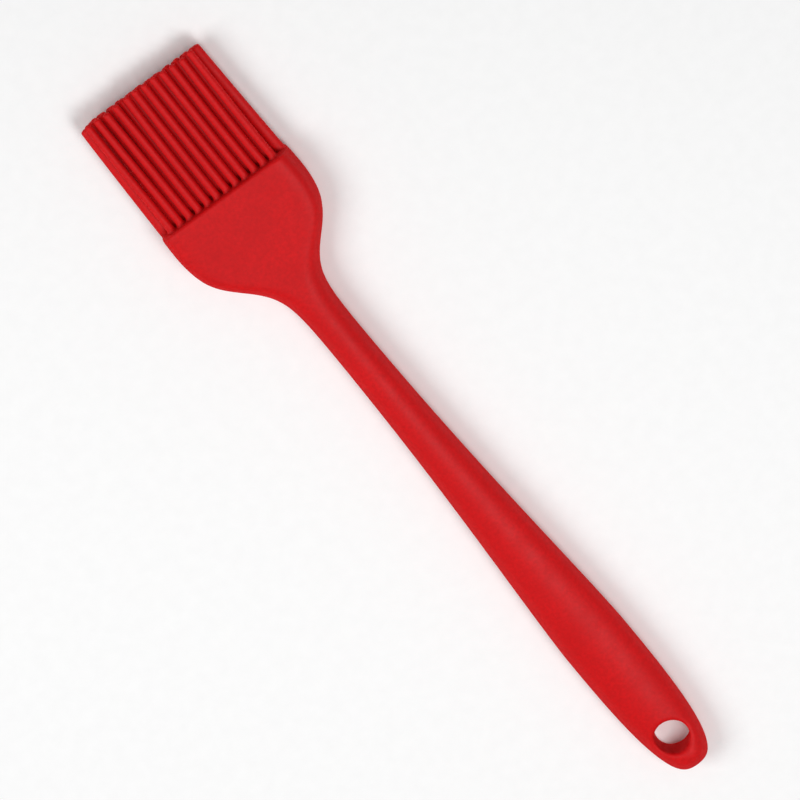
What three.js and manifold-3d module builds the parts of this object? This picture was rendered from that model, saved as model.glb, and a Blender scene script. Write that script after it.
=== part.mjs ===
// Silicone pastry brush: a soft handle and head moulded over a rigid core, and three rows of round bristles.
// Millimetres. X runs across the head, Y along the brush towards the bristle tips, Z through its thickness.
// The brush lies on its back. The origin is on the surface below it, half way along its length.
import * as THREE from 'three';
import { ParametricGeometry } from 'three/addons/geometries/ParametricGeometry.js';
import { mergeVertices } from 'three/addons/utils/BufferGeometryUtils.js';
import Module from 'manifold-3d';

const wasm = await Module();
wasm.setup();

// Whole brush. Stations along it are counted from the tail end, which lies at Y = -LENGTH / 2.
const LENGTH = 210;
const BRISTLE_LENGTH = 33;
const HEAD_END = LENGTH - BRISTLE_LENGTH;
const GAP = 0.3;

// Head and handle outline
const HEAD_WIDTH = 36.4;
const SHOULDER_STATION = 155.2;
const SHOULDER_SOFTNESS = 7.0;
const CHEEK_TAPER = 0.4;
const CHEEK_START = 168;
const NECK_WIDTH = 9.0;
const NECK_STATION = 136;
const GRIP_WIDTH = 16.2;
const GRIP_STATION = 38.5;
const GRIP_BLEND = 0.68;
const TAIL_ROUND_ALONG = 3.1;
const TAIL_ROUND_ACROSS = 3.0;

// Thickness
const HEAD_THICKNESS = 9.4;
const NECK_THICKNESS = 8.8;
const GRIP_THICKNESS = 9.8;
const TAIL_THICKNESS = 8.6;
const HEAD_FLAT_START = 163;
const MID_Z = GRIP_THICKNESS / 2;

// Rounded edges of the cross-section. The handle is nearly an ellipse, the head a rounded slab.
// Towards the tail's tip a flat is at most MOST_FLAT of the half section.
const HEAD_EDGE_ACROSS = 3.0;
const HEAD_EDGE_DEEP = 3.4;
const HANDLE_FLAT_ACROSS = 0.6;
const HANDLE_FLAT_DEEP = 0.4;
const MOST_FLAT = 0.25;

// Hanging hole in the tail, with flared rims
const HOLE_STATION = 9.8;
const HOLE_RADIUS = 4.1;
const HOLE_RIM = 0.9;

// Rigid core, its head paddle with keying holes, and the bores its locating pins leave in the back
const CORE_START = 19;
const CORE_END = 166;
const CORE_COVER = 2.2;
const CORE_CORNER = 0.6;
const CORE_NOSE = 1.5;
const CORE_NOSE_SHRINK = 0.7;
const PADDLE_WIDTH = 22;
const PADDLE_THICKNESS = 2.8;
const PADDLE_BLEND_START = 140;
const PADDLE_BLEND_END = 154;
const KEY_STATION = 159.5;
const KEY_OFFSET = 6;
const KEY_RADIUS = 2.2;
const PIN_STATIONS = [46, 102, 150];
const PIN_RADIUS = 0.9;
const PIN_OVERSHOOT = 1;

// Bristles: three rows of tapered round rods, the middle row staggered between the outer two.
// The middle row's end bristles are broad ovals, set a little outwards, that fill the head's full width.
// At the sides of the head the tips lean inwards by CONVERGENCE.
const ROOT_RADIUS = 0.95;
const TIP_RADIUS = 0.88;
const PITCH = 2.65;
const ROW_SPACING = 2.05;
const OUTER_ROW_COUNT = 12;
const MIDDLE_ROW_COUNT = 13;
const MIDDLE_END_OUTSET = 0.5;
const MIDDLE_END_BREADTH = 1.47;
const CONVERGENCE = 0.65;

// Facet counts, and where the tail's closely set rings end
const TAIL_RINGS = 9;
const TAIL_RINGS_END = 10;
const HANDLE_RINGS = 21;
const HEAD_RINGS = 14;
const CHEEK_RINGS = 2;
const CORE_HANDLE_RINGS = 9;
const CORE_NECK_RINGS = 4;
const CORE_PADDLE_RINGS = 3;
const SKIN_CORNER_STEPS = 7;
const CORE_CORNER_STEPS = 3;
const HOLE_SIDES = 40;
const PIN_SIDES = 16;
const BRISTLE_SIDES = 10;
const CAP_STEPS = 2;
const WELD_DISTANCE = 1e-4;

const RED_SILICONE = { color: 0xc8181c, roughness: 0.55, metalness: 0 };
const BLACK_NYLON = { color: 0x2b2b2d, roughness: 0.6, metalness: 0 };

const smoothStep = (from, to, u) => THREE.MathUtils.smoothstep(u, from, to);
const yAt = (station) => station - LENGTH / 2;

// Half width of the brush outline at a station
function halfWidth(u) {
  const alongHandle = THREE.MathUtils.clamp((u - GRIP_STATION) / (NECK_STATION - GRIP_STATION), 0, 1);
  const swell = 0.5 + 0.5 * Math.cos(Math.PI * alongHandle ** GRIP_BLEND);
  const shoulder = 0.5 + 0.5 * Math.tanh((u - SHOULDER_STATION) / SHOULDER_SOFTNESS);
  const cheek = Math.max(0, (u - CHEEK_START) / (HEAD_END - CHEEK_START));
  const toTail = Math.max(0, (GRIP_STATION - u) / GRIP_STATION);
  const tail = (1 - toTail ** TAIL_ROUND_ALONG) ** (1 / TAIL_ROUND_ACROSS);
  const handle = THREE.MathUtils.lerp(NECK_WIDTH, GRIP_WIDTH, swell) / 2;
  return (handle + (HEAD_WIDTH - NECK_WIDTH) / 2 * shoulder) * tail - CHEEK_TAPER * cheek ** 2;
}

// Half thickness at a station. It is constant, so flat, from HEAD_FLAT_START to the head's end.
function halfThickness(u) {
  const toGrip = 1 - smoothStep(GRIP_STATION, NECK_STATION, u);
  const toHead = smoothStep(NECK_STATION, HEAD_FLAT_START, u);
  const toTail = 1 - smoothStep(0, GRIP_STATION, u);
  const bodyThickness = NECK_THICKNESS + (GRIP_THICKNESS - NECK_THICKNESS) * toGrip
    + (HEAD_THICKNESS - NECK_THICKNESS) * toHead - (GRIP_THICKNESS - TAIL_THICKNESS) * toTail;
  const toEnd = Math.max(0, 1 - u / (TAIL_THICKNESS / 2));
  return bodyThickness / 2 * Math.sqrt(1 - toEnd ** 2);
}

// A cross-section is a rectangle with elliptical corners: flats are its half flats, round its corner radii
function skinSection(u) {
  const width = halfWidth(u);
  const thickness = halfThickness(u);
  const toHead = smoothStep(NECK_STATION, HEAD_FLAT_START, u);
  const handleFlatAcross = Math.min(HANDLE_FLAT_ACROSS, MOST_FLAT * width);
  const handleFlatDeep = Math.min(HANDLE_FLAT_DEEP, MOST_FLAT * thickness);
  const flatAcross = THREE.MathUtils.lerp(handleFlatAcross, width - HEAD_EDGE_ACROSS, toHead);
  const flatDeep = THREE.MathUtils.lerp(handleFlatDeep, thickness - HEAD_EDGE_DEEP, toHead);
  return { flatAcross, flatDeep, roundAcross: width - flatAcross, roundDeep: thickness - flatDeep };
}

// The core follows the skin at CORE_COVER depth. grow enlarges it all over, for the cavity it sits in.
function coreSection(u, grow) {
  const toPaddle = smoothStep(PADDLE_BLEND_START, PADDLE_BLEND_END, u);
  const width = Math.min(halfWidth(u) - CORE_COVER, PADDLE_WIDTH / 2) + grow;
  const deep = THREE.MathUtils.lerp(halfThickness(u) - CORE_COVER, PADDLE_THICKNESS / 2, toPaddle);
  const thickness = deep + grow;
  const corner = CORE_CORNER * thickness;
  return { flatAcross: width - corner, flatDeep: thickness - corner, roundAcross: corner, roundDeep: corner };
}

// One closed surface through a list of rings { u, section, shrink }. A shrink of 0 closes an end.
function loft(rings, cornerSteps) {
  const around = 4 * (cornerSteps + 1);
  const surface = (s, t, target) => {
    const ring = rings[Math.round(t * (rings.length - 1))];
    const index = Math.round((1 - s) * around) % around;
    const quadrant = Math.floor(index / (cornerSteps + 1));
    const angle = Math.PI / 2 * (quadrant + index % (cornerSteps + 1) / cornerSteps);
    const right = quadrant === 0 || quadrant === 3 ? 1 : -1;
    const up = quadrant < 2 ? 1 : -1;
    const { flatAcross, flatDeep, roundAcross, roundDeep } = ring.section;
    const x = (right * flatAcross + roundAcross * Math.cos(angle)) * ring.shrink;
    const z = (up * flatDeep + roundDeep * Math.sin(angle)) * ring.shrink;
    target.set(x, yAt(ring.u), MID_Z + z);
  };
  return new ParametricGeometry(surface, around, rings.length - 1);
}

// Evenly spaced stations from start to end, both included
function spaced(start, end, count) {
  return Array.from({ length: count + 1 }, (_, i) => THREE.MathUtils.lerp(start, end, i / count));
}

function toSolid(geometry) {
  const welded = geometry.clone();
  welded.deleteAttribute('normal');
  welded.deleteAttribute('uv');
  const merged = mergeVertices(welded, WELD_DISTANCE);
  const index = merged.index.array;
  const triVerts = [];
  for (let i = 0; i < index.length; i += 3) {
    const [a, b, c] = index.slice(i, i + 3);
    if (a !== b && b !== c && c !== a) triVerts.push(a, b, c);
  }
  const vertProperties = new Float32Array(merged.attributes.position.array);
  return new wasm.Manifold(new wasm.Mesh({ numProp: 3, vertProperties, triVerts: new Uint32Array(triVerts) }));
}

function toGeometry(solid) {
  const mesh = solid.getMesh();
  const geometry = new THREE.BufferGeometry();
  geometry.setAttribute('position', new THREE.BufferAttribute(new Float32Array(mesh.vertProperties), 3));
  geometry.setIndex(new THREE.BufferAttribute(new Uint32Array(mesh.triVerts), 1));
  geometry.computeVertexNormals();
  return geometry;
}

// Outer form of the moulding: rounded tail, swelling grip, slim neck and flat head
function skinBlank() {
  const tail = spaced(0, 1, TAIL_RINGS).slice(1).map((f) => TAIL_RINGS_END * (1 - Math.cos(f * Math.PI / 2)));
  const handle = spaced(TAIL_RINGS_END, NECK_STATION, HANDLE_RINGS).slice(1);
  const head = spaced(NECK_STATION, HEAD_FLAT_START, HEAD_RINGS).slice(1);
  const cheeks = spaced(CHEEK_START, HEAD_END, CHEEK_RINGS);
  const rings = [...tail, ...handle, ...head, ...cheeks].map((u) => ({ u, section: skinSection(u), shrink: 1 }));
  const tailPole = { u: 0, section: rings[0].section, shrink: 0 };
  const endFace = spaced(1, 0, CAP_STEPS).slice(1);
  const last = rings[rings.length - 1];
  const cap = endFace.map((shrink) => ({ u: HEAD_END, section: last.section, shrink }));
  return loft([tailPole, ...rings, ...cap], SKIN_CORNER_STEPS);
}

function coreBlank(grow) {
  const start = CORE_START - grow;
  const end = CORE_END + grow;
  const handle = spaced(start + CORE_NOSE, NECK_STATION, CORE_HANDLE_RINGS);
  const neck = spaced(PADDLE_BLEND_START, PADDLE_BLEND_END, CORE_NECK_RINGS);
  const paddle = spaced(PADDLE_BLEND_END, end - CORE_NOSE, CORE_PADDLE_RINGS).slice(1);
  const rings = [...handle, ...neck, ...paddle].map((u) => ({ u, section: coreSection(u, grow), shrink: 1 }));
  const nose = (u, ring) => [CORE_NOSE_SHRINK, 0].map((shrink) => ({ u, section: ring.section, shrink }));
  const heel = nose(start, rings[0]).reverse();
  return loft([...heel, ...rings, ...nose(end, rings[rings.length - 1])], CORE_CORNER_STEPS);
}

// An upright round bar or hole cutter between two heights
function uprightCylinder(x, station, radius, low, high, sides) {
  const geometry = new THREE.CylinderGeometry(radius, radius, high - low, sides);
  geometry.rotateX(Math.PI / 2);
  geometry.translate(x, yAt(station), (low + high) / 2);
  return toSolid(geometry);
}

// The hanging hole's cutter: a round bar whose ends flare as the rims round over
function hangHoleCutter() {
  const rimHeight = halfThickness(HOLE_STATION) - HOLE_RIM;
  const flare = [0, 0.5, 1].map((f) => {
    const angle = f * Math.PI / 2;
    return new THREE.Vector2(HOLE_RADIUS + HOLE_RIM * (1 - Math.cos(angle)), rimHeight + HOLE_RIM * Math.sin(angle));
  });
  const top = new THREE.Vector2(HOLE_RADIUS + HOLE_RIM, rimHeight + 2 * HOLE_RIM);
  const upper = [...flare, top];
  const lower = upper.map((p) => new THREE.Vector2(p.x, -p.y)).reverse();
  const profile = [new THREE.Vector2(0, lower[0].y), ...lower, ...upper, new THREE.Vector2(0, top.y)];
  const geometry = new THREE.LatheGeometry(profile, HOLE_SIDES);
  geometry.rotateX(Math.PI / 2);
  geometry.translate(0, yAt(HOLE_STATION), MID_Z);
  return toSolid(geometry);
}

function keyHoles(radius) {
  return [-KEY_OFFSET, KEY_OFFSET].map((x) =>
    uprightCylinder(x, KEY_STATION, radius, MID_Z - HEAD_THICKNESS / 4, MID_Z + HEAD_THICKNESS / 4, PIN_SIDES));
}

function coreSolid(grow) {
  return keyHoles(KEY_RADIUS - grow).reduce((core, hole) => core.subtract(hole), toSolid(coreBlank(grow)));
}

// The moulding: outer form less the core's cavity, the hanging hole and the locating-pin bores
function handleSkin() {
  const pinBores = PIN_STATIONS.map((u) =>
    uprightCylinder(0, u, PIN_RADIUS, -PIN_OVERSHOOT, MID_Z - PIN_OVERSHOOT, PIN_SIDES));
  const cuts = [coreSolid(GAP), hangHoleCutter(), ...pinBores];
  return toGeometry(cuts.reduce((skin, cut) => skin.subtract(cut), toSolid(skinBlank())));
}

// One bristle along +Y, its rounded root centred on the origin. breadth is its width over its thickness.
function bristleGeometry(breadth) {
  const shaft = BRISTLE_LENGTH - GAP - ROOT_RADIUS - TIP_RADIUS;
  const arc = (radius, centre, from) => [0, 0.5, 1].map((f) => {
    const angle = from + f * Math.PI / 2;
    return new THREE.Vector2(Math.max(0, radius * Math.cos(angle)), centre + radius * Math.sin(angle));
  });
  const profile = [...arc(ROOT_RADIUS, 0, -Math.PI / 2), ...arc(TIP_RADIUS, shaft, 0)];
  return new THREE.LatheGeometry(profile, BRISTLE_SIDES).scale(breadth, 1, 1);
}

function makeMesh(name, geometry, finish) {
  const mesh = new THREE.Mesh(geometry, new THREE.MeshStandardMaterial(finish));
  mesh.name = name;
  return mesh;
}

// A row of evenly spaced bristles at one height, with its first and last one moved outwards and broadened
function bristleRow(rowName, count, height, endOutset = 0, endBreadth = 1) {
  const row = new THREE.Group();
  const spread = PITCH * (count - 1) / 2;
  const places = spaced(-spread, spread, count - 1);
  places[0] -= endOutset;
  places[count - 1] += endOutset;
  places.forEach((x, i) => {
    const number = String(i + 1).padStart(2, '0');
    const breadth = i === 0 || i === count - 1 ? endBreadth : 1;
    const bristle = makeMesh(`bristle_${rowName}_${number}`, bristleGeometry(breadth), RED_SILICONE);
    bristle.position.set(x, yAt(HEAD_END) + GAP + ROOT_RADIUS, MID_Z + height);
    bristle.rotation.z = Math.atan(CONVERGENCE * (2 * x / HEAD_WIDTH) / BRISTLE_LENGTH);
    row.add(bristle);
  });
  return row;
}

const brush = new THREE.Group();
brush.add(makeMesh('handle_skin', handleSkin(), RED_SILICONE));
brush.add(makeMesh('rigid_core', toGeometry(coreSolid(0)), BLACK_NYLON));
brush.add(bristleRow('front', OUTER_ROW_COUNT, ROW_SPACING));
brush.add(bristleRow('middle', MIDDLE_ROW_COUNT, 0, MIDDLE_END_OUTSET, MIDDLE_END_BREADTH));
brush.add(bristleRow('back', OUTER_ROW_COUNT, -ROW_SPACING));

export default brush;
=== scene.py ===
"""Silicone pastry brush: fine meshes, materials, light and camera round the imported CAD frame.

Sizes of the brush are in millimetres, and stations are counted from its tail end. Meshes, light and camera
are in metres, in the CAD frame: X across the head, Y along the brush to the bristle tips, Z up through its
thickness.
"""
import math
import random

import bmesh
import bpy
import numpy as np
from mathutils import Matrix, Vector


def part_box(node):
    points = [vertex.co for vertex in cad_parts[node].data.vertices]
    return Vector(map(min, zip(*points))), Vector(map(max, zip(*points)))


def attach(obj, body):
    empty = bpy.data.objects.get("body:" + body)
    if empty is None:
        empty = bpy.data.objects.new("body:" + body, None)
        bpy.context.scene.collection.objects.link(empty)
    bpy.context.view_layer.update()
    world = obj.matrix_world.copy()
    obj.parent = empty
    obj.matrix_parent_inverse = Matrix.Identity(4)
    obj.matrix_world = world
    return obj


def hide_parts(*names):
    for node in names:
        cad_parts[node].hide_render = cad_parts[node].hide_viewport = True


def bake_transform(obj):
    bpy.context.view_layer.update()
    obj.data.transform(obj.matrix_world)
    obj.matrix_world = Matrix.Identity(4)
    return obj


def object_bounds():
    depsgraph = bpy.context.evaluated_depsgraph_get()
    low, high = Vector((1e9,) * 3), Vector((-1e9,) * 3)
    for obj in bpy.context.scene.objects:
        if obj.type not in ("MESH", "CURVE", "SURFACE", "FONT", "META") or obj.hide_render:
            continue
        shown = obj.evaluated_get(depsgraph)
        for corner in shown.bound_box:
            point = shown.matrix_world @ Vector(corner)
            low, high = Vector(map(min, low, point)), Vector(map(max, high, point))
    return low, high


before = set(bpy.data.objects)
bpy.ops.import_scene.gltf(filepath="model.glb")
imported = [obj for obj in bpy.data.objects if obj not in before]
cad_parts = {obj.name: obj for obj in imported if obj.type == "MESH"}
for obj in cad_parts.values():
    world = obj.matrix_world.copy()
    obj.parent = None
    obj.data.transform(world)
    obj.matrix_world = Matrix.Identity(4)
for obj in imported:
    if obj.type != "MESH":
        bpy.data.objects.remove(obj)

cad_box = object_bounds()

MM = 0.001
SEED = 20
WELD_DISTANCE = 1e-6
DEGENERATE_LENGTH = 1e-8

# Places taken from the CAD frame
SKIN_LOW, SKIN_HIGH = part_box("handle_skin")
TAIL_Y = SKIN_LOW.y / MM
HEAD_END = (SKIN_HIGH.y - SKIN_LOW.y) / MM
MID_Z = (SKIN_LOW.z + SKIN_HIGH.z) / 2 / MM
LENGTH = (cad_box[1].y - cad_box[0].y) / MM

# Head and handle outline
HEAD_WIDTH = 36.4
SHOULDER_STATION = 155.2
SHOULDER_SOFTNESS = 7.0
CHEEK_TAPER = 0.4
CHEEK_START = 168.0
NECK_WIDTH = 9.0
NECK_STATION = 136.0
GRIP_WIDTH = 16.2
GRIP_STATION = 38.5
GRIP_BLEND = 0.68
TAIL_ROUND_ALONG = 3.1
TAIL_ROUND_ACROSS = 3.0
HANDLE_STEP = 1.25
HEAD_STEP = 0.8
LAST_STEP_SHARE = 0.75
SKIN_QUARTER_STEPS = 22

# Thickness and rounded edges
HEAD_THICKNESS = 9.4
NECK_THICKNESS = 8.8
GRIP_THICKNESS = 9.8
TAIL_THICKNESS = 8.6
HEAD_FLAT_START = 163.0
HEAD_EDGE_ACROSS = 3.0
HEAD_EDGE_DEEP = 3.4
FACE_EDGE = 0.9
FACE_EDGE_RINGS = 7
FACE_RING_SHARES = (0.9, 0.7, 0.45, 0.2, 0.0)

# Hanging hole, and the tail's rays round it. BEZIER_QUARTER is how far along its tangents a cubic curve's
# handles sit for it to follow a quarter circle
HOLE_STATION = 9.8
HOLE_RADIUS = 4.1
HOLE_RIM = 1.3
HOLE_RIM_RINGS = 9
HOLE_WALL_STEPS = 4
BEZIER_QUARTER = 0.5523
TAIL_JOIN = 24.0
TAIL_OUTLINE_SAMPLES = 800
TAIL_OUTLINE_STEPS = 110
TAIL_RAY_STEPS = 14
TAIL_CROWDING_POWER = 8
SLOPE_STEP = 0.02

# Core cavity and the bores of its locating pins
CORE_START = 19.0
CORE_END = 166.0
CORE_COVER = 2.2
CORE_CORNER = 0.6
CORE_GAP = 0.25
CAVITY_STEP = 2.0
CAVITY_QUARTER_STEPS = 10
PADDLE_WIDTH = 22.0
PADDLE_THICKNESS = 2.8
PADDLE_BLEND_START = 140.0
PADDLE_BLEND_END = 154.0
PIN_STATIONS = (46.0, 102.0, 150.0)
PIN_RADIUS = 0.9
PIN_RIM = 0.25
PIN_SIDES = 32
PIN_RIM_STEPS = 4
PIN_START_BELOW = 1.0
PIN_END_PAST = 0.5

# Parting line of the mould, a fine raised seam round the edge. Its height falls off over these angles, in
# degrees, and it stops where the rounding of the head's end has turned this far, in radians
SEAM_HEIGHT = 0.07
SEAM_ANGLES = (0.6, 1.3, 2.4)
SEAM_SHARES = (1.0, 0.75, 0.2, 0.0)
SEAM_END_TURN = 1.4

# Bristles. ROOT_RINGS are distances from the head's end face, and TIP_RING_SHARES are shares of the flat of
# the tip.
ROOT_RADIUS = 0.95
TIP_RADIUS = 0.88
TIP_EDGE = 0.55
TIP_DOME = 0.1
MIDDLE_END_BREADTH = 1.45
ROOT_FLARE = 0.3
ROOT_FLARE_LENGTH = 0.9
ROOT_DEPTH = 0.9
ROOT_RINGS = (0.0, 0.08, 0.18, 0.3, 0.45, 0.65, 0.9, 1.5)
SHAFT_RINGS = 24
TIP_EDGE_RINGS = 7
TIP_RING_SHARES = (0.66, 0.33, 0.0)
BRISTLE_SIDES = 20
BRISTLE_TURN = 0.3
SWAY_POWER = 1.6
CONVERGENCE = 0.65

# How far the tips drift sideways: the rows lean more and more from left to right, the rear ones less so, the
# front row is parted once, and the broad bristles at both ends keep a drift of their own. The parting and the
# lean are kept small enough for the bristles to clear each other at both ends of their travel
LEAN_LEFT = -0.2
LEAN_RIGHT = 1.1
PARTING_AFTER = 4
PARTING = 0.55
PARTING_FADE = 0.5
END_DRIFT = 0.4
REAR_LEAN_SHARE = 0.6
DRIFT_SPREAD = 0.06

# How much shorter the bristles are than the CAD rods: the front row's lengths rise and fall in a gentle wave
FRONT_SHORT = 0.98
LENGTH_WAVE = 0.2
LENGTH_WAVE_BRISTLES = 8
REAR_SHORT = {"middle_row": 1.25, "back_row": 1.85}
LEFT_END_SHORT = 1.9
LENGTH_SPREAD = 0.08
DEPTH_SPREAD = 0.08
BOW_SPREAD = 0.08

# Silicone: two reds in soft clouds, darkened in specks, with a dull gloss that fades at the edges.
# Noise scales are per metre and bump distances in metres
SILICONE_DEEP = (0.62, 0.0025, 0.004)
SILICONE_LIGHT = (0.69, 0.0035, 0.005)
SILICONE_SPECK = (0.53, 0.002, 0.003)
SPECK_SHARE = 0.8
SILICONE_ROUGHNESS = (0.50, 0.58)
SILICONE_IOR = 1.41
SILICONE_SPECULAR = 0.28
SILICONE_TINT = (1.0, 0.95, 1.0, 1.0)
SUBSURFACE = 0.5
SUBSURFACE_RADIUS = (1.0, 0.15, 0.1)
SUBSURFACE_SCALE = 0.0012
CLOUD_SCALE = 90.0
SPECK_SCALE = 1300.0
GLOSS_SCALE = 260.0
GRAIN_SCALE = 3200.0
GRAIN_DEPTH = 0.00003
GRAIN_STRENGTH = 0.18
WAVE_SCALE = 160.0
WAVE_DEPTH = 0.0001
WAVE_STRENGTH = 0.2
EDGE_BLEND = 0.5
EDGE_RISE_START = 0.3
EDGE_RISE_END = 0.8

# The part of a noise's range that is used
NOISE_LOW = 0.3
NOISE_HIGH = 0.7

# Nylon core
NYLON_DARK = (0.018, 0.018, 0.02)
NYLON_FIBRE = (0.05, 0.05, 0.052)
NYLON_ROUGHNESS = (0.5, 0.7)
FIBRE_SCALE = 1500.0
NYLON_GLOSS_SCALE = 500.0
NYLON_GRAIN_SCALE = 2500.0
NYLON_GRAIN_STRENGTH = 0.4

# Floor
FLOOR_DARK = (0.95, 0.95, 0.95)
FLOOR_LIGHT = (0.97, 0.97, 0.97)
FLOOR_ROUGHNESS = 0.9
FLOOR_SPECULAR = 0.1
FLOOR_CLOUD_SCALE = 300.0
FLOOR_HALF_SIDE = 1.5

# Light: each area light is a square of this side in metres and this power in watts, in this direction
WORLD_STRENGTH = 0.27
LIGHT_DISTANCE = 0.7
LEFT_LIGHT_WAY = Vector((-0.55, 0.3, 0.78))
LEFT_LIGHT_SIDE = 0.4
LEFT_LIGHT_POWER = 2.0
ABOVE_LIGHT_WAY = Vector((0.24, -0.28, 0.93))
ABOVE_LIGHT_SIDE = 0.3
ABOVE_LIGHT_POWER = 2.45

# Camera: the view's right and backward directions, its distance and width, and where it aims, in metres
VIEW_RIGHT = Vector((0.7898, -0.6133, 0.0)).normalized()
VIEW_BACK = Vector((0.2168, 0.2792, 0.9354)).normalized()
VIEW_UP = VIEW_BACK.cross(VIEW_RIGHT).normalized()
VIEW_DISTANCE = 5.0
VIEW_WIDTH = 0.1824
VIEW_AIM_RIGHT = -0.0039
VIEW_AIM_UP = 0.0057
SENSOR_WIDTH = 36.0
CLIP_NEAR = 0.01
CLIP_FAR = 20.0


def smooth(start, end, u):
    """0 up to start, 1 from end on, and a soft step between them."""
    t = np.clip((u - start) / (end - start), 0.0, 1.0)
    return t * t * (3.0 - 2.0 * t)


def half_width(u):
    """Half width of the outline at station u."""
    u = np.asarray(u, float)
    along = np.clip((u - GRIP_STATION) / (NECK_STATION - GRIP_STATION), 0.0, 1.0)
    swell = 0.5 + 0.5 * np.cos(np.pi * along**GRIP_BLEND)
    shoulder = 0.5 + 0.5 * np.tanh((u - SHOULDER_STATION) / SHOULDER_SOFTNESS)
    cheek = np.maximum(0.0, (u - CHEEK_START) / (HEAD_END - CHEEK_START))
    to_tail = np.clip((GRIP_STATION - u) / GRIP_STATION, 0.0, 1.0)
    tail = (1.0 - to_tail**TAIL_ROUND_ALONG) ** (1.0 / TAIL_ROUND_ACROSS)
    handle = (NECK_WIDTH + (GRIP_WIDTH - NECK_WIDTH) * swell) / 2.0
    return (handle + (HEAD_WIDTH - NECK_WIDTH) / 2.0 * shoulder) * tail - CHEEK_TAPER * cheek**2


def half_thickness(u):
    """Half thickness at station u."""
    u = np.asarray(u, float)
    to_grip = 1.0 - smooth(GRIP_STATION, NECK_STATION, u)
    to_head = smooth(NECK_STATION, HEAD_FLAT_START, u)
    to_tail = 1.0 - smooth(0.0, GRIP_STATION, u)
    body = NECK_THICKNESS + (GRIP_THICKNESS - NECK_THICKNESS) * to_grip
    body = body + (HEAD_THICKNESS - NECK_THICKNESS) * to_head - (GRIP_THICKNESS - TAIL_THICKNESS) * to_tail
    to_end = np.maximum(0.0, 1.0 - u / (TAIL_THICKNESS / 2.0))
    return body / 2.0 * np.sqrt(1.0 - to_end**2)


def skin_section(u, inset=0.0):
    """(half width, half thickness, half flat across, half flat deep) of the skin at station u."""
    width = half_width(u) - inset
    thickness = half_thickness(u) - inset
    to_head = smooth(NECK_STATION, HEAD_FLAT_START, u)
    across = (width - HEAD_EDGE_ACROSS) * to_head
    deep = (thickness - HEAD_EDGE_DEEP) * to_head
    return width, thickness, across, deep


def core_section(u, grow):
    """The same four sizes for the cavity that holds the core."""
    to_paddle = smooth(PADDLE_BLEND_START, PADDLE_BLEND_END, u)
    width = min(float(half_width(u)) - CORE_COVER, PADDLE_WIDTH / 2.0) + grow
    deep = (float(half_thickness(u)) - CORE_COVER) * (1.0 - to_paddle) + PADDLE_THICKNESS / 2.0 * to_paddle
    thickness = deep + grow
    corner = CORE_CORNER * thickness
    return width, thickness, width - corner, thickness - corner


def ring_points(section, angles):
    """Where rays at these angles meet a rectangle with elliptical corners.

    The section is scaled to a square of half side 1, and the angles are those of that square.
    """
    width, thickness, across, deep = section
    fx = across / width
    fz = deep / thickness
    c = np.abs(np.cos(angles))
    s = np.abs(np.sin(angles))
    a = 1.0 - fx
    b = 1.0 - fz
    # ray radius r on the corner: ((r c - fx) / a)^2 + ((r s - fz) / b)^2 = 1
    qa = (c / a) ** 2 + (s / b) ** 2
    qb = -2.0 * (c * fx / a**2 + s * fz / b**2)
    qc = (fx / a) ** 2 + (fz / b) ** 2 - 1.0
    r = (-qb + np.sqrt(np.maximum(qb**2 - 4.0 * qa * qc, 0.0))) / (2.0 * qa)
    on_top = c <= fx * s
    on_side = s <= fz * c
    r = np.where(on_top, 1.0 / np.maximum(s, 1e-9), r)
    r = np.where(on_side & ~on_top, 1.0 / np.maximum(c, 1e-9), r)
    return r * np.cos(angles) * width, r * np.sin(angles) * thickness


def section_angles(quarter_steps, seam):
    """Angles round a section, evenly spaced, with close extra ones at both edges for the parting line."""
    even = [i * 90.0 / quarter_steps for i in range(1, quarter_steps + 1)]
    close = list(SEAM_ANGLES) if seam else []
    quarter = sorted(set(close + even))
    half = [0.0] + quarter + [180.0 - a for a in reversed(quarter[:-1])]
    return np.radians(np.array(half + [a + 180.0 for a in half]))


def to_frame(x, station, z):
    """Arrays in millimetres to an array of points in the CAD frame, in metres."""
    return np.stack([x, station + TAIL_Y, z + MID_Z], axis=-1) * MM


class MeshParts:
    """Collects rings of points as quads, and welds them into one mesh."""

    def __init__(self):
        self.points = []
        self.faces = []

    def add_rings(self, rings, flip=False):
        """Joins each closed ring to the next. rings is an array (rings, points round, 3)."""
        rings = np.asarray(rings, float)
        first = sum(len(p) for p in self.points)
        n, m = rings.shape[:2]
        self.points.append(rings.reshape(-1, 3))
        for i in range(n - 1):
            near = first + i * m
            far = near + m
            for j in range(m):
                k = (j + 1) % m
                quad = (near + j, near + k, far + k, far + j)
                self.faces.append(quad[::-1] if flip else quad)

    def build(self, name):
        mesh = bpy.data.meshes.new(name)
        mesh.from_pydata(np.concatenate(self.points).tolist(), [], self.faces)
        piece = bpy.data.objects.new(name, mesh)
        bpy.context.scene.collection.objects.link(piece)
        weld_and_face_out(mesh)
        return piece


def weld_and_face_out(mesh):
    """Joins coinciding points, turns all faces outwards and shades the mesh smooth."""
    bm = bmesh.new()
    bm.from_mesh(mesh)
    bmesh.ops.remove_doubles(bm, verts=bm.verts, dist=WELD_DISTANCE)
    bmesh.ops.dissolve_degenerate(bm, edges=bm.edges, dist=DEGENERATE_LENGTH)
    bmesh.ops.recalc_face_normals(bm, faces=bm.faces)
    bm.to_mesh(mesh)
    bm.free()
    mesh.polygons.foreach_set("use_smooth", [True] * len(mesh.polygons))
    mesh.update()


# ---------------------------------------------------------------- handle skin

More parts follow.
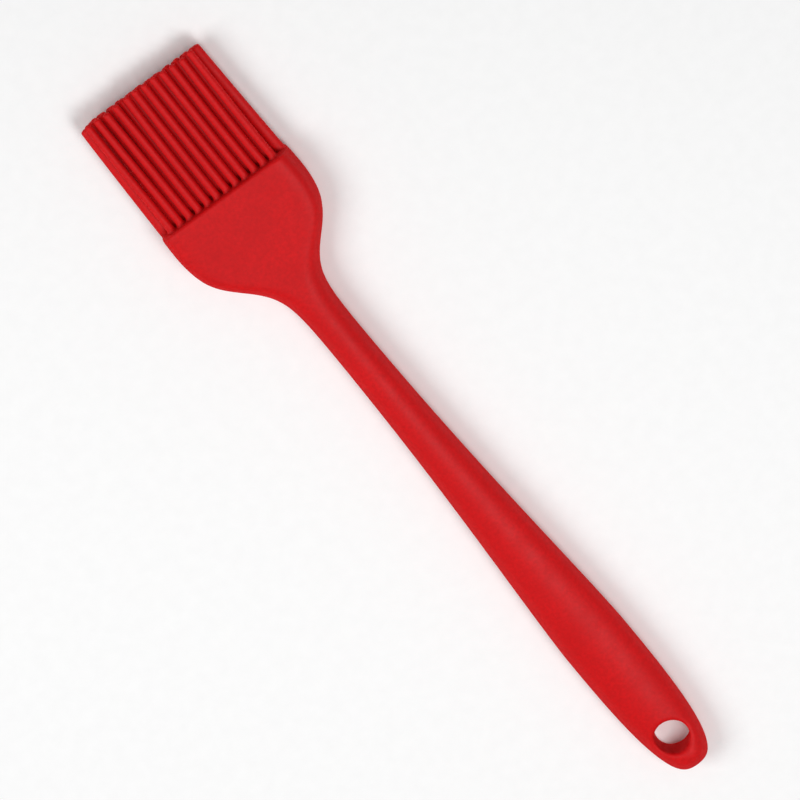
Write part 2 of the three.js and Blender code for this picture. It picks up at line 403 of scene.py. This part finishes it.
def seam_lift(points, angles):
    """Raises the parting line: the ring's points at both edges move outwards."""
    lift = np.zeros(len(angles))
    for degrees, share in zip((0.0,) + SEAM_ANGLES, SEAM_SHARES):
        for centre in (0.0, math.pi, 2.0 * math.pi):
            lift[np.abs(np.abs(angles - centre) - math.radians(degrees)) < 1e-6] = share
    points[..., 0] += np.sign(points[..., 0]) * lift * SEAM_HEIGHT * MM
    return points


def skin_loft_rows(angles):
    """Rings from the tail join to the flat end face, whose edge is rounded by FACE_EDGE.

    The evenly spaced ones keep LAST_STEP_SHARE of a step clear of that rounding, and the parting line stops
    near the rounding's end, before the flat face.
    """
    handle = np.arange(TAIL_JOIN, NECK_STATION, HANDLE_STEP)
    head = np.arange(NECK_STATION, HEAD_END - FACE_EDGE - LAST_STEP_SHARE * HEAD_STEP, HEAD_STEP)
    rounding = np.linspace(0.0, math.pi / 2.0, FACE_EDGE_RINGS)
    rows = []
    for u in np.concatenate([handle, head]):
        x, z = ring_points(skin_section(u), angles)
        rows.append(seam_lift(to_frame(x, np.full_like(x, u), z), angles))
    for t in rounding:
        u = HEAD_END - FACE_EDGE * (1.0 - math.sin(t))
        x, z = ring_points(skin_section(u, FACE_EDGE * (1.0 - math.cos(t))), angles)
        ring = to_frame(x, np.full_like(x, u), z)
        rows.append(seam_lift(ring, angles) if t < SEAM_END_TURN else ring)
    for share in FACE_RING_SHARES:
        rows.append(to_frame(x * share, np.full_like(x, HEAD_END), z * share))
    return rows


def tail_height(x, u):
    """Height of the tail's surface above the mid plane."""
    inside = np.clip(1.0 - (x / np.maximum(half_width(u), 1e-6)) ** 2, 0.0, 1.0)
    return half_thickness(u) * np.sqrt(inside)


def tail_outline():
    """Evenly spaced points of the outline from the left of the tail join round the tail to its right."""
    fine = TAIL_JOIN * np.linspace(1, 0, TAIL_OUTLINE_SAMPLES) ** 2.0
    back = fine[::-1]
    left = np.stack([-half_width(fine), fine], 1)
    right = np.stack([half_width(back), back], 1)
    outline = np.concatenate([left, right])
    steps = np.hypot(*np.diff(outline, axis=0).T)
    length = np.concatenate([[0.0], np.cumsum(steps)])
    at = np.linspace(0.0, length[-1], TAIL_OUTLINE_STEPS + 1)[1:-1]
    x = np.interp(at, length, outline[:, 0])
    u = np.interp(at, length, outline[:, 1])
    x = np.where(np.abs(x) > 1e-9, np.sign(x) * half_width(u), x)
    return x, u


def hole_rows(dx, du):
    """Rings from the middle of the hanging hole's wall up and over its rim, on rays in these directions."""
    rim = HOLE_RADIUS + HOLE_RIM
    further = rim + SLOPE_STEP
    k = BEZIER_QUARTER
    # z1 is the surface's height at the rim's outer edge, and corner is where its slope would meet the wall
    z1 = tail_height(dx * rim, HOLE_STATION + du * rim)
    slope = (tail_height(dx * further, HOLE_STATION + du * further) - z1) / SLOPE_STEP
    corner = z1 - slope * HOLE_RIM
    wall_top = corner - HOLE_RIM
    rows = []
    for f in np.linspace(0.0, 1.0, HOLE_WALL_STEPS + 1)[:-1]:
        rows.append(to_frame(dx * HOLE_RADIUS, HOLE_STATION + du * HOLE_RADIUS, wall_top * f))
    for t in np.linspace(0.0, 1.0, HOLE_RIM_RINGS):
        b0 = (1 - t) ** 3
        b1 = 3 * (1 - t) ** 2 * t
        b2 = 3 * (1 - t) * t**2
        b3 = t**3
        radius = (b0 + b1) * HOLE_RADIUS + b2 * (HOLE_RADIUS + HOLE_RIM * (1 - k)) + b3 * rim
        z = b0 * wall_top + b1 * (wall_top + k * HOLE_RIM) + b2 * (corner + (z1 - corner) * (1 - k)) + b3 * z1
        rows.append(to_frame(dx * radius, HOLE_STATION + du * radius, z))
    return rows


def tail_rows(angles):
    """The tail's upper half as rays from the hanging hole: up its wall, over its rim and out to the edge."""
    half_ring = angles[: len(angles) // 2 + 1]
    join_x = float(half_width(TAIL_JOIN)) * np.cos(half_ring)
    join_u = np.full(len(half_ring), TAIL_JOIN)
    edge_x, edge_u = tail_outline()
    end_x = np.concatenate([join_x, edge_x])
    end_u = np.concatenate([join_u, edge_u])
    reach = np.hypot(end_x, end_u - HOLE_STATION)
    dx = end_x / reach
    du = (end_u - HOLE_STATION) / reach
    rows = hole_rows(dx, du)
    # towards the steep edge the steps get shorter, so that the surface stays smooth there
    crowding = np.concatenate([np.abs(np.cos(half_ring)) ** TAIL_CROWDING_POWER, np.ones(len(edge_x))])
    rim = HOLE_RADIUS + HOLE_RIM
    for f in np.linspace(0.0, 1.0, TAIL_RAY_STEPS + 1)[1:-1]:
        g = f * (1.0 - crowding) + math.sin(f * math.pi / 2.0) * crowding
        radius = rim + (reach - rim) * g
        x = dx * radius
        u = HOLE_STATION + du * radius
        rows.append(to_frame(x, u, tail_height(x, u)))
    # the last ring lies on the first ring of the loft and on the parting line
    lifted = SEAM_HEIGHT * np.concatenate([np.zeros(len(join_x)), np.ones(len(edge_x))])
    end_z = np.concatenate([half_thickness(TAIL_JOIN) * np.sin(half_ring), np.zeros(len(edge_x))])
    last = to_frame(end_x + dx * lifted, end_u + du * lifted, end_z)
    last[: len(half_ring)] = seam_lift(last[: len(half_ring)], half_ring)
    rows.append(last)
    return np.array(rows)


def cavity_cutter():
    """The core's cavity, for cutting out of the skin."""
    angles = section_angles(CAVITY_QUARTER_STEPS, False)
    stations = np.arange(CORE_START - CORE_GAP, CORE_END, CAVITY_STEP)
    stations = np.append(stations, CORE_END + CORE_GAP)
    parts = MeshParts()
    rings = []
    for i, u in enumerate(stations):
        x, z = ring_points(core_section(u, CORE_GAP), angles)
        if i == 0:
            rings.append(to_frame(x * 0.0, np.full_like(x, u), z * 0.0))
        rings.append(to_frame(x, np.full_like(x, u), z))
    rings.append(to_frame(x * 0.0, np.full_like(x, u), z * 0.0))
    parts.add_rings(rings)
    return parts.build("cavity_cutter")


def pin_cutter(station):
    """A locating pin's bore with a small rounded rim, cut up from the back to the cavity."""
    surface = -float(half_thickness(station))
    start = surface - PIN_START_BELOW
    end = surface + CORE_COVER + PIN_END_PAST
    profile = [(0.0, start), (PIN_RADIUS + PIN_RIM, start), (PIN_RADIUS + PIN_RIM, surface)]
    for t in np.linspace(0.0, math.pi / 2.0, PIN_RIM_STEPS + 1)[1:]:
        profile.append((PIN_RADIUS + PIN_RIM * (1.0 - math.sin(t)), surface + PIN_RIM * (1.0 - math.cos(t))))
    profile += [(PIN_RADIUS, end), (0.0, end)]
    turn = np.linspace(0.0, 2.0 * math.pi, PIN_SIDES + 1)[:-1]
    rings = []
    for radius, z in profile:
        rings.append(to_frame(radius * np.cos(turn), station + radius * np.sin(turn), np.full_like(turn, z)))
    parts = MeshParts()
    parts.add_rings(rings)
    return parts.build("pin_cutter")


def cut(piece, cutter):
    """Exact boolean difference, applied, and the cutter removed."""
    modifier = piece.modifiers.new("cut", "BOOLEAN")
    modifier.operation = "DIFFERENCE"
    modifier.solver = "EXACT"
    modifier.object = cutter
    mesh = bpy.data.meshes.new_from_object(piece.evaluated_get(bpy.context.evaluated_depsgraph_get()))
    piece.modifiers.clear()
    old = piece.data
    piece.data = mesh
    bpy.data.meshes.remove(old)
    bpy.data.objects.remove(cutter)


def make_skin():
    """The loft and the tail welded together, with the core's cavity and the pin bores cut out."""
    angles = section_angles(SKIN_QUARTER_STEPS, True)
    parts = MeshParts()
    parts.add_rings(skin_loft_rows(angles))
    upper = tail_rows(angles)
    lower = upper.copy()
    lower[..., 2] = 2.0 * MID_Z * MM - lower[..., 2]
    parts.add_rings(upper)
    parts.add_rings(lower, flip=True)
    skin = parts.build("silicone_handle_and_head")
    cut(skin, cavity_cutter())
    for station in PIN_STATIONS:
        cut(skin, pin_cutter(station))
    skin.data.polygons.foreach_set("use_smooth", [True] * len(skin.data.polygons))
    return skin


# ---------------------------------------------------------------- bristles

def bristle_profile(length, flare):
    """(distance from the head's end face, radius) pairs from the hidden root to the blunt, rounded tip."""
    shaft_end = length - TIP_DOME - TIP_EDGE
    profile = [(-ROOT_DEPTH, 0.0), (-ROOT_DEPTH, ROOT_RADIUS + flare)]
    for y in ROOT_RINGS:
        profile.append((y, ROOT_RADIUS + flare * max(0.0, 1.0 - y / ROOT_FLARE_LENGTH) ** 2))
    for y in np.linspace(ROOT_RINGS[-1], shaft_end, SHAFT_RINGS)[1:]:
        share = y / shaft_end
        profile.append((y, ROOT_RADIUS + (TIP_RADIUS - ROOT_RADIUS) * share))
    for t in np.linspace(0.0, math.pi / 2.0, TIP_EDGE_RINGS)[1:]:
        profile.append((shaft_end + TIP_EDGE * math.sin(t), TIP_RADIUS - TIP_EDGE * (1.0 - math.cos(t))))
    for share in TIP_RING_SHARES:
        profile.append((length - TIP_DOME * share**2, (TIP_RADIUS - TIP_EDGE) * share))
    return profile


def small_chance(chance, spread):
    """A normally spread random number, cut off at twice its spread."""
    return max(-2.0 * spread, min(2.0 * spread, chance.gauss(0.0, spread)))


def lean(i, count):
    """The sideways drift of the tips grows evenly along a row."""
    return LEAN_LEFT + (LEAN_RIGHT - LEAN_LEFT) * i / (count - 1)


def front_drift(i, count):
    """From the parting on the drift jumps, and each next bristle keeps half the jump."""
    jump = PARTING * PARTING_FADE ** (i - PARTING_AFTER) if i >= PARTING_AFTER else 0.0
    return lean(i, count) + jump


def rear_drift(i, count):
    """The rear rows share part of the lean."""
    return END_DRIFT + REAR_LEAN_SHARE * (lean(i, count) - END_DRIFT)


def front_short(i):
    """How much the front row's bristles are shortened, in a wave along the row."""
    return FRONT_SHORT + LENGTH_WAVE * math.sin(2.0 * math.pi * (i + 1) / LENGTH_WAVE_BRISTLES)


def make_bristle(node, name, breadth, drift, short, chance):
    """One bristle where its CAD node stands.

    breadth is its width over its thickness. drift moves its tip sideways and short shortens it, both in
    millimetres.
    """
    low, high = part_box(node)
    middle_x = (low.x + high.x) / 2 / MM
    half_lean = CONVERGENCE * middle_x / HEAD_WIDTH
    root_x = middle_x + half_lean
    tip_x = middle_x - half_lean
    height = (low.z + high.z) / 2 / MM - MID_Z
    length = LENGTH - HEAD_END - short
    depth_drift = small_chance(chance, DEPTH_SPREAD)
    bow = small_chance(chance, BOW_SPREAD)
    turn = np.linspace(0.0, 2.0 * math.pi, BRISTLE_SIDES + 1)[:-1] + chance.uniform(0.0, BRISTLE_TURN)
    rows = []
    for y, radius in bristle_profile(length, ROOT_FLARE if breadth == 1.0 else 0.0):
        t = max(0.0, y) / length
        sway = drift * t**SWAY_POWER + bow * math.sin(math.pi * t) * t
        x = root_x + (tip_x - root_x) * t + sway + breadth * radius * np.cos(turn)
        z = height + depth_drift * t**SWAY_POWER + radius * np.sin(turn)
        rows.append(to_frame(x, np.full_like(x, HEAD_END + y), z))
    parts = MeshParts()
    parts.add_rings(rows)
    return parts.build(name)


def make_row(body, prefix, chance, material):
    """The fine bristles of one row, each in place of its CAD node."""
    nodes = sorted(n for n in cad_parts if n.startswith(prefix))
    for i, node in enumerate(nodes):
        if body == "front_row":
            drift = front_drift(i, len(nodes))
            short = front_short(i)
        else:
            drift = rear_drift(i, len(nodes))
            short = REAR_SHORT[body]
        broad = body == "middle_row" and node in (nodes[0], nodes[-1])
        breadth = MIDDLE_END_BREADTH if broad else 1.0
        if broad:
            drift = END_DRIFT
        if broad and node == nodes[0]:
            short = LEFT_END_SHORT
        drift += small_chance(chance, DRIFT_SPREAD)
        short += small_chance(chance, LENGTH_SPREAD)
        piece = make_bristle(node, node.replace("bristle_", "fine_bristle_"), breadth, drift, short, chance)
        piece.data.materials.append(material)
        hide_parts(node)
        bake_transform(piece)


# ---------------------------------------------------------------- materials

def node_material(name):
    """A material with an empty principled shader, and the object's own coordinates."""
    material = bpy.data.materials.new(name)
    material.use_nodes = True
    tree = material.node_tree
    tree.nodes.clear()
    output = tree.nodes.new("ShaderNodeOutputMaterial")
    shader = tree.nodes.new("ShaderNodeBsdfPrincipled")
    tree.links.new(shader.outputs["BSDF"], output.inputs["Surface"])
    where = tree.nodes.new("ShaderNodeTexCoord").outputs["Object"]
    return material, tree, shader, where


def noise(tree, where, scale, detail=2.0, roughness=0.5):
    node = tree.nodes.new("ShaderNodeTexNoise")
    node.inputs["Scale"].default_value = scale
    node.inputs["Detail"].default_value = detail
    node.inputs["Roughness"].default_value = roughness
    tree.links.new(where, node.inputs["Vector"])
    return node.outputs["Fac"]


def ramp(tree, value, low, high):
    """Maps the used part of a noise to a range from low to high."""
    node = tree.nodes.new("ShaderNodeMapRange")
    node.inputs["From Min"].default_value = NOISE_LOW
    node.inputs["From Max"].default_value = NOISE_HIGH
    node.inputs["To Min"].default_value = low
    node.inputs["To Max"].default_value = high
    tree.links.new(value, node.inputs["Value"])
    return node.outputs["Result"]


def blend_colours(tree, share, first, second):
    """Mixes two colours, each a tuple or a node's output, by the Mix node's colour sockets."""
    node = tree.nodes.new("ShaderNodeMix")
    node.data_type = "RGBA"
    for socket, value in ((node.inputs[6], first), (node.inputs[7], second)):
        if isinstance(value, tuple):
            socket.default_value = (*value, 1.0)
        else:
            tree.links.new(value, socket)
    tree.links.new(share, node.inputs[0])
    return node.outputs[2]


def bump(tree, height, distance, strength, under=None):
    node = tree.nodes.new("ShaderNodeBump")
    node.inputs["Distance"].default_value = distance
    node.inputs["Strength"].default_value = strength
    tree.links.new(height, node.inputs["Height"])
    if under is not None:
        tree.links.new(under, node.inputs["Normal"])
    return node.outputs["Normal"]


def rougher_at_edges(tree, gloss):
    """Roughness that rises to 1 where the surface turns away from the view, so that its edges don't shine."""
    weight = tree.nodes.new("ShaderNodeLayerWeight")
    weight.inputs["Blend"].default_value = EDGE_BLEND
    rise = tree.nodes.new("ShaderNodeMapRange")
    rise.inputs["From Min"].default_value = EDGE_RISE_START
    rise.inputs["From Max"].default_value = EDGE_RISE_END
    tree.links.new(weight.outputs["Facing"], rise.inputs["Value"])
    blend = tree.nodes.new("ShaderNodeMix")
    blend.inputs["B"].default_value = 1.0
    tree.links.new(rise.outputs["Result"], blend.inputs["Factor"])
    tree.links.new(gloss, blend.inputs["A"])
    return blend.outputs["Result"]


def silicone_material():
    """Matte moulded red silicone: fine grain, faint cloudy colour, and patches of different gloss."""
    material, tree, shader, where = node_material("red_silicone")
    cloud = ramp(tree, noise(tree, where, CLOUD_SCALE, 3.0), 0.0, 1.0)
    speckle = ramp(tree, noise(tree, where, SPECK_SCALE, 3.0), 0.0, SPECK_SHARE)
    base = blend_colours(tree, cloud, SILICONE_DEEP, SILICONE_LIGHT)
    colour = blend_colours(tree, speckle, base, SILICONE_SPECK)
    tree.links.new(colour, shader.inputs["Base Color"])
    gloss = ramp(tree, noise(tree, where, GLOSS_SCALE, 3.0), *SILICONE_ROUGHNESS)
    tree.links.new(rougher_at_edges(tree, gloss), shader.inputs["Roughness"])
    shader.inputs["IOR"].default_value = SILICONE_IOR
    shader.inputs["Specular IOR Level"].default_value = SILICONE_SPECULAR
    shader.inputs["Specular Tint"].default_value = SILICONE_TINT
    shader.inputs["Subsurface Weight"].default_value = SUBSURFACE
    shader.inputs["Subsurface Radius"].default_value = SUBSURFACE_RADIUS
    shader.inputs["Subsurface Scale"].default_value = SUBSURFACE_SCALE
    grain = bump(tree, noise(tree, where, GRAIN_SCALE, 2.0, 0.6), GRAIN_DEPTH, GRAIN_STRENGTH)
    waves = bump(tree, noise(tree, where, WAVE_SCALE, 2.0), WAVE_DEPTH, WAVE_STRENGTH, grain)
    tree.links.new(waves, shader.inputs["Normal"])
    return material


def nylon_material():
    """Dark glass-filled nylon: pale flecks for its fibres, and a dull moulded grain."""
    material, tree, shader, where = node_material("core_nylon")
    fibres = ramp(tree, noise(tree, where, FIBRE_SCALE, 4.0, 0.7), 0.0, 1.0)
    colour = blend_colours(tree, fibres, NYLON_DARK, NYLON_FIBRE)
    tree.links.new(colour, shader.inputs["Base Color"])
    gloss = ramp(tree, noise(tree, where, NYLON_GLOSS_SCALE), *NYLON_ROUGHNESS)
    tree.links.new(gloss, shader.inputs["Roughness"])
    grain = bump(tree, noise(tree, where, NYLON_GRAIN_SCALE), GRAIN_DEPTH, NYLON_GRAIN_STRENGTH)
    tree.links.new(grain, shader.inputs["Normal"])
    return material


def floor_material():
    """Plain pale matte paper, very slightly uneven."""
    material, tree, shader, where = node_material("floor_paper")
    cloud = ramp(tree, noise(tree, where, FLOOR_CLOUD_SCALE), 0.0, 1.0)
    colour = blend_colours(tree, cloud, FLOOR_DARK, FLOOR_LIGHT)
    tree.links.new(colour, shader.inputs["Base Color"])
    shader.inputs["Roughness"].default_value = FLOOR_ROUGHNESS
    shader.inputs["Specular IOR Level"].default_value = FLOOR_SPECULAR
    return material


# ---------------------------------------------------------------- light, floor and camera

def make_camera():
    """A distant camera with a long lens, looking down on the brush with its tail at the lower right."""
    data = bpy.data.cameras.new("camera")
    data.sensor_width = SENSOR_WIDTH
    data.lens = data.sensor_width * VIEW_DISTANCE / VIEW_WIDTH
    data.clip_start = CLIP_NEAR
    data.clip_end = CLIP_FAR
    camera = bpy.data.objects.new("camera", data)
    bpy.context.scene.collection.objects.link(camera)
    aim = Vector((0.0, 0.0, MID_Z * MM)) + VIEW_RIGHT * VIEW_AIM_RIGHT + VIEW_UP * VIEW_AIM_UP
    turn = Matrix((VIEW_RIGHT, VIEW_UP, VIEW_BACK)).transposed().to_4x4()
    camera.matrix_world = Matrix.Translation(aim + VIEW_BACK * VIEW_DISTANCE) @ turn
    bpy.context.scene.camera = camera


def area_light(name, place, target, side, power):
    data = bpy.data.lights.new(name, "AREA")
    data.shape = "RECTANGLE"
    data.size = side
    data.size_y = side
    data.energy = power
    light = bpy.data.objects.new(name, data)
    bpy.context.scene.collection.objects.link(light)
    light.location = place
    light.rotation_mode = "QUATERNION"
    light.rotation_quaternion = (Vector(place) - Vector(target)).to_track_quat("Z", "Y")


def make_lights():
    """Even white surroundings, a soft light from the left, and a second one from above for the sheen."""
    world = bpy.data.worlds.new("studio")
    world.use_nodes = True
    background = world.node_tree.nodes["Background"]
    background.inputs["Color"].default_value = (1.0, 1.0, 1.0, 1.0)
    background.inputs["Strength"].default_value = WORLD_STRENGTH
    bpy.context.scene.world = world
    centre = Vector((0.0, 0.0, MID_Z * MM))
    area_light("left_soft", LEFT_LIGHT_WAY * LIGHT_DISTANCE, centre, LEFT_LIGHT_SIDE, LEFT_LIGHT_POWER)
    area_light("sheen_above", ABOVE_LIGHT_WAY * LIGHT_DISTANCE, centre, ABOVE_LIGHT_SIDE, ABOVE_LIGHT_POWER)


def make_floor(material):
    mesh = bpy.data.meshes.new("floor")
    side = FLOOR_HALF_SIDE
    corners = [(-side, -side, 0.0), (side, -side, 0.0), (side, side, 0.0), (-side, side, 0.0)]
    mesh.from_pydata(corners, [], [(0, 1, 2, 3)])
    floor = bpy.data.objects.new("floor", mesh)
    bpy.context.scene.collection.objects.link(floor)
    mesh.materials.append(material)


def main():
    chance = random.Random(SEED)
    silicone = silicone_material()
    skin = make_skin()
    skin.data.materials.clear()
    skin.data.materials.append(silicone)
    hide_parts("handle_skin")
    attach(skin, "handle")
    make_row("front_row", "bristle_front_", chance, silicone)
    make_row("middle_row", "bristle_middle_", chance, silicone)
    make_row("back_row", "bristle_back_", chance, silicone)
    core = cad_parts["rigid_core"]
    core.data.materials.clear()
    core.data.materials.append(nylon_material())
    make_floor(floor_material())
    make_lights()
    make_camera()
    bpy.context.scene.view_settings.view_transform = "Standard"


main()
